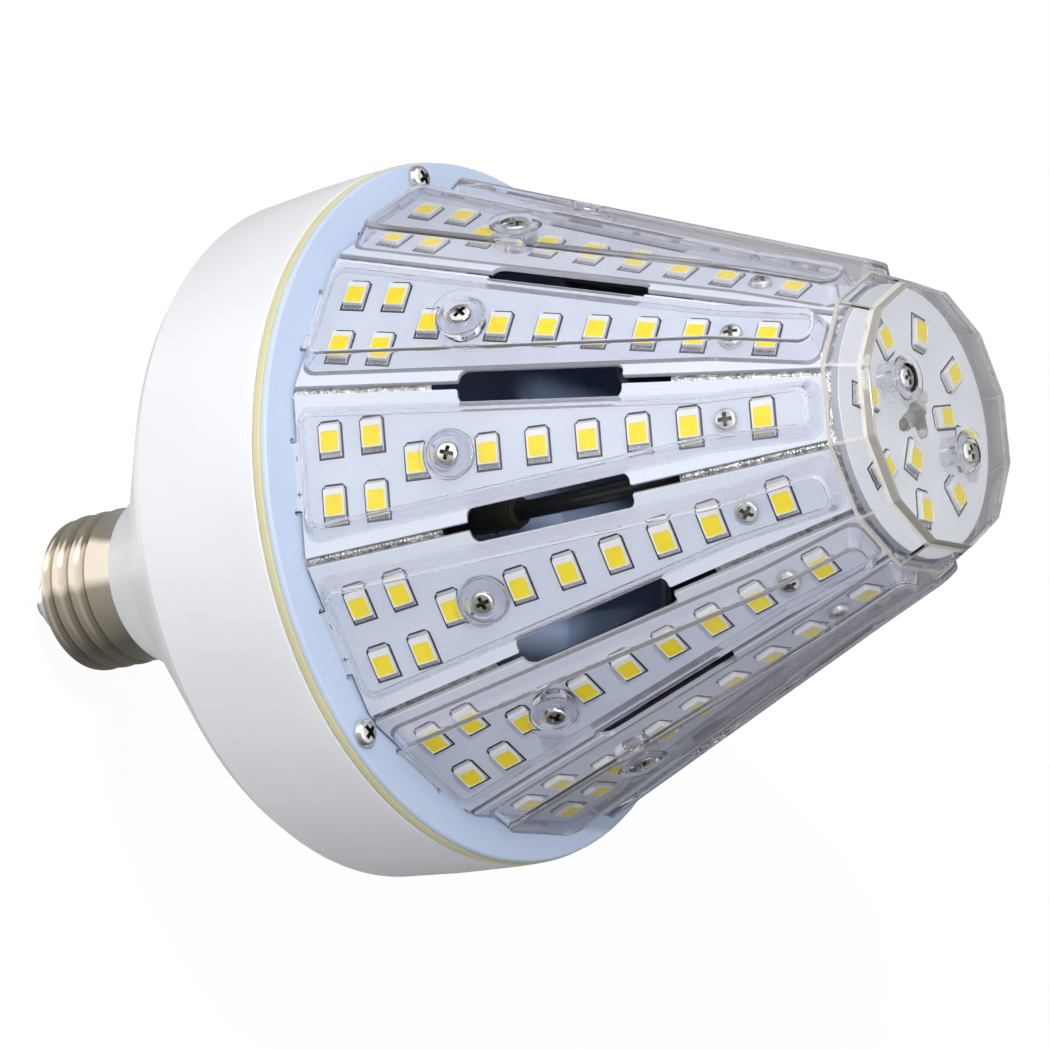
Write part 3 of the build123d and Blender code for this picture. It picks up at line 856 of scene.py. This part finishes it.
def lens_shape():
    lean = math.pi / 2 - math.atan(LENS_DRAFT)
    rim, soft, soft_in = SEAT_GAP, 0.55, 0.3
    knee = LENS_H - soft
    side = knee * LENS_DRAFT
    outer = [lens_ring(0.0, 2.2, rim), lens_ring(side, 2.0, knee)]
    outer += [lens_ring(side + d, 2.0, knee + h) for d, h in edge_round(soft, lean, 5)]
    knee = LENS_ROOF - soft_in
    side = LENS_WALL + knee * LENS_DRAFT
    inner = [lens_ring(LENS_WALL, 1.4, rim), lens_ring(side, 1.3, knee)]
    inner += [lens_ring(side + d, 1.3, knee + h) for d, h in edge_round(soft_in, lean, 4)]
    shape = Shape()
    shape.rings(outer[:2], WALL, False, False)
    shape.rings(outer[1:], EDGE, False, False)
    shape.add(outer[-1], [list(range(len(outer[0])))], FACE)
    shape.rings(inner[:2], WALL, False, False)
    shape.rings(inner[1:], FACE, False, True)
    shape.rings([inner[0], outer[0]], EDGE, False, False)
    me = shape.mesh("lens_blank", 30)
    return read_back(cut(me, *boss_tools(LENS_BOSS, 0, LENS_SCREW_Y, rim, LENS_ROOF, LENS_H)))


LENS = lens_shape()


# Screws with a cross recess
def oblong(reach, half, z):
    """Rectangle about the axis at a height."""
    return [(-reach, -half, z), (reach, -half, z), (reach, half, z), (-reach, half, z)]


def screw_shape(radius, height):
    """Domed head with its cross recess in the second material, which is the steel darkened as painted shade."""
    profile = rounded(
        [(0, 0), (radius * 0.94, 0), (radius, 0.2 * height), (radius * 0.86, height * 0.8), (0, height)],
        [0, 0.05, 0.3 * height, 0.55 * radius, 0], 7,
    )
    me = Shape().lathe(profile, 48).mesh("screw_blank", 40)
    arm, half = radius * 0.62, radius * 0.15
    low = oblong(arm * 0.55, half * 0.7, 0.34 * height)
    high = oblong(arm * 1.1, half * 1.25, height * 1.1)
    one = Shape().rings([low, high], 1)
    for spin in (0.0, math.pi / 2):
        me = cut(me, ("DIFFERENCE", Shape().stamp(one, Matrix.Rotation(spin, 4, "Z"))))
    return read_back(me)


SMALL_HEAD = screw_shape(1.8, 1.1)
RIM_HEAD = screw_shape(2.15, 1.7)
TOP_HEAD = screw_shape(1.9, 1.2)


def on_facets(lift, y):
    """The same place on each facet."""
    return [facet(k, lift) @ Matrix.Translation((0, y, 0)) for k in range(FACETS)]


def screws(name, base, places, node):
    """Screw heads at places, each at its own turn."""
    shape = Shape()
    for place in places:
        shape.stamp(base, place @ Matrix.Rotation(rng.uniform(0, math.pi / 2), 4, "Z"))
    piece(name, shape.mesh(name, 32), [SCREW, RECESS_PAINTED_SHADE], [node])


lens_seat = BOARD_T + LENS_H - SINK_DEPTH
rim_places = [polar(RIM_R - 2.8, a, PLATE_TOP) for a in (75, 195, 315)]
top_places = [polar(r, a, TOP_FACE - SINK_DEPTH) for r, a in TOP_SCREWS]
screws("lens_screw_heads", SMALL_HEAD, on_facets(lens_seat, LENS_SCREW_Y), "lens_screws")
screws("board_screw_heads", SMALL_HEAD, on_facets(BOARD_T, BOARD_SCREW_Y), "board_screws")
screws("rim_screw_heads", RIM_HEAD, rim_places, "rim_screws")
screws("top_screw_heads", TOP_HEAD, top_places, "top_screws")

# Board, lamps, marks and cover of each facet
for k in range(FACETS):
    tag = f"{k + 1:02d}"
    face = facet(k, BOARD_T)
    piece(
        f"led_board_{tag}_finished", Shape().stamp(BOARD_SHAPE, facet(k)).mesh("led_board", 30),
        [BOARD, BOARD_EDGE], [f"led_board_{tag}"],
    )
    piece(
        f"board_leds_{tag}_detailed", Shape().stamp(LED_SET, face).mesh("board_leds", 30),
        LED_FINISH, [f"board_leds_{tag}"],
    )
    piece(f"board_marks_{tag}", Shape().stamp(MARKS, face).mesh("board_marks", 30), [INK])
    piece(
        f"lens_cover_{tag}_moulded", Shape().stamp(LENS, face).mesh("lens_cover", 30, (WALL,)),
        [CLEAR, CLEAR_EDGE, CLEAR_WALL, CLEAR_BOSS], [f"lens_cover_{tag}"],
    )


# Lit end, with the cable's glued and soldered joint at its middle: x, y, two radii, height and turn of each drop
LUMPS = [
    (-0.9, -0.6, 2.6, 1.7, 1.35, -0.85), (-3.5, 1.4, 1.5, 1.1, 1.0, -0.7),
    (1.3, 0.5, 1.6, 1.3, 1.0, 0.4), (0.6, -3.1, 1.8, 1.2, 0.9, -0.9),
]
STAINS = [(1.2, -4.5, 1.15, 0.85, 0.8, -0.8), (-1.4, -0.8, 0.8, 0.6, 1.1, -0.8)]
disc = [(0, CONE_TOP), (TOP_BOARD_R, CONE_TOP), (TOP_BOARD_R, TOP_BOARD_Z), (0, TOP_BOARD_Z)]
round_mesh = Shape().lathe(rounded(disc, [0, 0.1, 0.15, 0]), 160).mesh("top_board_finished", 30)
for side in round_mesh.polygons:
    if abs(side.normal.z) < 0.5:
        side.material_index = EDGE
piece("top_board_finished", round_mesh, [TOP_WHITE, BOARD_EDGE], ["top_board"])
top_set = Shape()
top_marks = Shape()
for r, a in TOP_LEDS:
    spot = polar(r, a, TOP_BOARD_Z)
    top_set.stamp(LED, spot)
    top_marks.stamp(RING, spot)
piece("top_leds_detailed", top_set.mesh("top_leds", 30), LED_FINISH, ["top_leds"])
piece("top_board_marks", top_marks.mesh("top_marks", 30), [INK])


def lump(x, y, rx, ry, height, turn):
    """Low rounded drop on the round board with a slightly uneven skin."""
    rings = []
    segs = 20
    wave = [1 + rng.uniform(-0.12, 0.12) for j in range(segs)]
    for i in range(6):
        a = math.radians(15 * i)
        ring = []
        for j in range(segs):
            t = TAU * j / segs
            u = rx * math.cos(t) * math.cos(a) * wave[j]
            v = ry * math.sin(t) * math.cos(a) * wave[j]
            ring.append((
                x + u * math.cos(turn) - v * math.sin(turn),
                y + u * math.sin(turn) + v * math.cos(turn),
                TOP_BOARD_Z + 0.01 + height * math.sin(a),
            ))
        rings.append(ring)
    return Shape().rings(rings)


def joint(name, spots, mat):
    """Drops of one kind at the cable's joint."""
    drops = Shape()
    for spot in spots:
        drops.stamp(lump(*spot), Matrix.Identity(4))
    piece(name, drops.mesh(name, 60), [mat])


joint("joint_glue", LUMPS, GLUE)
joint("joint_flux", STAINS, FLUX)


def cup_ring(apothem, corner, z):
    """Twelve-sided ring with rounded corners."""
    far = apothem / math.cos(HALF)
    turns = [(2 * k + 1) * HALF for k in range(FACETS)]
    sharp = [(far * math.cos(a), far * math.sin(a)) for a in turns]
    return raised(rounded(sharp, corner, ARC_STEPS), z)


def top_cover():
    """Drafted cup with milky foot, corners and upper edge, and a sunk boss for each of its screws."""
    skirt = TOP_BOARD_R + CUP_GAP + CUP_WALL + TOP_BOARD_T * CUP_DRAFT
    tilt = math.radians(63.5)
    foot, soft, soft_in = 0.5, 0.5, 0.4
    corner, corner_in = 1.0, 0.6
    knee = TOP_FACE - CONE_TOP - soft
    outer = [cup_ring(skirt - z * CUP_DRAFT, corner, CONE_TOP + z) for z in (0.0, foot, knee - CUP_RIM, knee)]
    for d, h in edge_round(soft, tilt, 4):
        outer.append(cup_ring(skirt - knee * CUP_DRAFT - d, corner, CONE_TOP + knee + h))
    bend = TOP_BOARD_Z + TOP_ROOM - CONE_TOP - soft_in
    inner = [cup_ring(skirt - CUP_WALL - z * CUP_DRAFT, corner_in, CONE_TOP + z) for z in (0.0, bend)]
    for d, h in edge_round(soft_in, tilt, 3):
        inner.append(cup_ring(skirt - CUP_WALL - bend * CUP_DRAFT - d, corner_in, CONE_TOP + bend + h))
    n = len(outer[0])
    shape = Shape()
    shape.rings([inner[0], outer[0], outer[1]], EDGE, False, False)
    wall = len(shape.slots)
    shape.rings(outer[1:3], FACE, False, False)
    for j in range(n):
        if j % (ARC_STEPS + 1) != ARC_STEPS:
            shape.slots[wall + j] = EDGE
    shape.rings(outer[2:], EDGE, False, False)
    shape.add(outer[-1], [list(range(n))], FACE)
    shape.rings(inner[:2], FACE, False, False)
    shape.rings(inner[1:], WALL, False, False)
    shape.add(inner[-1], [list(range(n))], FACE)
    me = shape.mesh("top_blank", 30)
    tools = []
    for r, a in TOP_SCREWS:
        x, y = r * math.cos(math.radians(a)), r * math.sin(math.radians(a))
        tools += boss_tools(CUP_BOSS, x, y, TOP_BOARD_Z + SEAT_GAP, TOP_BOARD_Z + TOP_ROOM, TOP_FACE)
    cup = read_back(cut(me, *tools)).mesh("top_cover_moulded", 25, (FACE,))
    piece("top_cover_moulded", cup, [CLEAR, CUP_EDGE, CUP_EDGE, CLEAR_BOSS], ["top_cover"])


top_cover()


# Lamp cable seen through a vent slot
CABLE_OUT = Vector((math.cos(CABLE_TURN), math.sin(CABLE_TURN), 0))
CABLE_SIDE = Vector((-math.sin(CABLE_TURN), math.cos(CABLE_TURN), 0))
UP = Vector((0, 0, 1))


def lamp_cable():
    route = [(12, 34.6), (12, 56), (25.5, 94.7), (25.5, 118.6), (0, 134.8), (0, 150.3)]
    points = [CABLE_OUT * r + UP * z for r, z in route]
    data = bpy.data.curves.new("lamp_cable_smooth", "CURVE")
    data.dimensions = "3D"
    data.bevel_depth = CABLE_R * MM
    data.bevel_resolution = 5
    data.use_fill_caps = True
    line = data.splines.new("NURBS")
    line.points.add(len(points) - 1)
    for target, p in zip(line.points, points):
        target.co = (*(p * MM), 1)
    line.order_u = 3
    line.use_endpoint_u = True
    line.resolution_u = 12
    data.materials.append(CABLE)
    obj = bpy.data.objects.new("lamp_cable_smooth", data)
    bpy.context.scene.collection.objects.link(obj)
    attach(obj, "root")
    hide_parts("lamp_cable")


lamp_cable()


def cable_sleeve():
    """Shrunk sleeve on the cable's slanted part, seen at the end of a slot."""
    ends = [(18.75, 75.35), (25.5, 94.7), (25.5, 106.65)]
    steps, segs = 12, 28
    rings = []
    for i in range(steps + 1):
        t = 0.08 + 0.5 * i / steps
        weights = ((1 - t) ** 2, 2 * t * (1 - t), t * t)
        r = sum(w * p[0] for w, p in zip(weights, ends))
        z = sum(w * p[1] for w, p in zip(weights, ends))
        dr = 2 * ((1 - t) * (ends[1][0] - ends[0][0]) + t * (ends[2][0] - ends[1][0]))
        dz = 2 * ((1 - t) * (ends[1][1] - ends[0][1]) + t * (ends[2][1] - ends[1][1]))
        size = math.hypot(dr, dz)
        normal = CABLE_OUT * (dz / size) - UP * (dr / size)
        spot = CABLE_OUT * r + UP * z
        radius = SLEEVE_R - (0.5 if i in (0, steps) else 0.0) + rng.uniform(-0.12, 0.12)
        turns = [TAU * j / segs for j in range(segs)]
        rings.append([spot + (normal * math.cos(a) + CABLE_SIDE * math.sin(a)) * radius for a in turns])
    piece("cable_sleeve", Shape().rings(rings).mesh("cable_sleeve", 40), [SHRINK])


cable_sleeve()


# Camera at the photograph's viewing angle
AXIS_IN_VIEW = Vector((0.7994, -0.16591, -0.57743)).normalized()
RIM_IN_VIEW = Vector((-0.11989, -0.03702, 11.63032)) * 55.5
CAMERA_TURN = math.radians(282.6)
FOCAL_PX = 4124.9
FRAME_PX = 1050
SENSOR = 36


def make_camera():
    side = Vector((math.cos(CAMERA_TURN), math.sin(CAMERA_TURN), 0))
    here = (-RIM_IN_VIEW) - AXIS_IN_VIEW * (-RIM_IN_VIEW).dot(AXIS_IN_VIEW)
    here.normalize()
    cad = Matrix((UP, side, UP.cross(side))).transposed()
    view = Matrix((AXIS_IN_VIEW, here, AXIS_IN_VIEW.cross(here)))
    turn = cad @ view
    spot = UP * RIM_Z - turn @ RIM_IN_VIEW
    right, down, ahead = turn.col[0], turn.col[1], turn.col[2]
    data = bpy.data.cameras.new("camera")
    data.sensor_width = SENSOR
    data.lens = FOCAL_PX * SENSOR / FRAME_PX
    data.clip_start = 0.01
    data.clip_end = 20
    obj = bpy.data.objects.new("camera", data)
    bpy.context.scene.collection.objects.link(obj)
    basis = Matrix((right, -down, -ahead)).transposed().to_4x4()
    obj.matrix_world = Matrix.Translation(spot * MM) @ basis
    bpy.context.scene.camera = obj


make_camera()


# Floor, lamps and world
MIDDLE = Vector((0, 0, 0.085))
FLOOR_Z = -23.2
FLOOR_R = 3000
FLOOR_T = 1.0
STUDIO_LEVEL = 1.5
STUDIO = [
    (0, 0.08), (50, 0.1), (108, 0.21), (206, 0.26), (217, 0.96), (262, 0.96), (276, 0.32), (324, 0.18), (360, 0.08),
]


def studio(tree, place):
    """Reflected surroundings by direction round the axis: a pale panel, grey sides and a dark underside."""
    apart = wire(tree, "ShaderNodeSeparateXYZ", {0: place}).outputs
    turn = maths(tree, "ARCTAN2", apart["Y"], apart["X"])
    share = maths(tree, "FRACT", maths(tree, "MULTIPLY_ADD", turn, 1 / TAU, 1.0))
    stops = [(angle / 360, (level, level * 0.985, level * 0.955, 1)) for angle, level in STUDIO]
    return ramp(tree, share, stops)


def floor():
    """Pale floor that is white to the camera and shows the surroundings in reflections."""
    under = FLOOR_Z - FLOOR_T
    me = Shape().lathe([(0, FLOOR_Z), (FLOOR_R, FLOOR_Z), (FLOOR_R, under), (0, under)], 96).mesh("floor", 30)
    p = Paint("floor_white")
    p.colour(p.noise(3.0, detail=2.0), (0.3, (0.86, 0.86, 0.86, 1)), (0.7, (0.88, 0.88, 0.88, 1)))
    p.set(Roughness=0.7)
    path = p.node("ShaderNodeLightPath").outputs
    white = p.node("ShaderNodeEmission", {"Strength": 1.05}).outputs["Emission"]
    look = {"Color": studio(p.tree, p.place), "Strength": STUDIO_LEVEL}
    around = p.node("ShaderNodeEmission", look).outputs["Emission"]
    seen = maths(p.tree, "MAXIMUM", path["Is Camera Ray"], path["Is Transmission Ray"])
    glow = maths(p.tree, "MULTIPLY", path["Is Diffuse Ray"], 0.65)
    share = maths(p.tree, "MULTIPLY_ADD", seen, 0.9, glow)
    plain = mixed(p.tree, share, p.bsdf.outputs["BSDF"], white)
    p.surface(mixed(p.tree, path["Is Glossy Ray"], plain, around))
    obj = bpy.data.objects.new("floor", me)
    bpy.context.scene.collection.objects.link(obj)
    me.materials.append(p.mat)


def lamp(name, azimuth, height, distance, size, power, colour):
    """Soft square panel that faces the object, placed by its direction from it in degrees."""
    data = bpy.data.lights.new(name, "AREA")
    data.shape = "SQUARE"
    data.size = size
    data.energy = power
    data.color = colour
    obj = bpy.data.objects.new(name, data)
    bpy.context.scene.collection.objects.link(obj)
    a, h = math.radians(azimuth), math.radians(height)
    away = Vector((math.cos(a) * math.cos(h), math.sin(a) * math.cos(h), math.sin(h)))
    obj.location = MIDDLE + away * distance
    obj.rotation_euler = (-away).to_track_quat("-Z", "Y").to_euler()


def world():
    """Soft light, with its own look for reflections, for clear pieces and for the camera."""
    w = bpy.data.worlds.new("surroundings")
    bpy.context.scene.world = w
    w.use_nodes = True
    tree = w.node_tree
    place = wire(tree, "ShaderNodeTexCoord").outputs["Generated"]
    bright = math.radians(205)
    dot = vector_maths(tree, "DOT_PRODUCT", place, (math.cos(bright), math.sin(bright), 0.25)).outputs["Value"]
    soft = tree.nodes["Background"]
    soft.inputs["Color"].default_value = (0.93, 0.955, 1.0, 1)
    tree.links.new(span(tree, dot, 0.15, 0.45, -1, 1), soft.inputs["Strength"])
    height = wire(tree, "ShaderNodeSeparateXYZ", {0: place}).outputs["Z"]
    blend = wire(tree, "ShaderNodeMix", {
        "Factor": span(tree, height, 0, 0.85, 0.35, 0.75), "A": studio(tree, place), "B": (0.62, 0.63, 0.66, 1),
    }, data_type="RGBA")
    around = wire(tree, "ShaderNodeBackground", {"Color": blend.outputs["Result"], "Strength": STUDIO_LEVEL})
    pale = wire(tree, "ShaderNodeBackground", {"Color": (0.8, 0.8, 0.83, 1)})
    white = wire(tree, "ShaderNodeBackground", {"Color": (1, 1, 1, 1)})
    path = wire(tree, "ShaderNodeLightPath").outputs
    last = soft.outputs[0]
    for key, kind in (("Is Glossy Ray", around), ("Is Transmission Ray", pale), ("Is Camera Ray", white)):
        last = mixed(tree, path[key], last, kind.outputs[0])
    tree.links.new(last, tree.nodes["World Output"].inputs["Surface"])


floor()
lamp("key", 256, 40, 0.7, 0.035, 2.3, (1.0, 0.985, 0.96))
lamp("top_panel", 205, 34, 0.8, 0.8, 1.95, (1.0, 0.99, 0.98))
lamp("end_panel", 300, 65, 0.8, 0.6, 1.5, (0.95, 0.97, 1.0))
world()
bpy.context.scene.view_settings.view_transform = "Standard"
paths = bpy.context.scene.cycles
paths.max_bounces = 8
paths.diffuse_bounces = 2
paths.glossy_bounces = 4
paths.transmission_bounces = 7
paths.transparent_max_bounces = 8
paths.caustics_reflective = False
paths.caustics_refractive = False
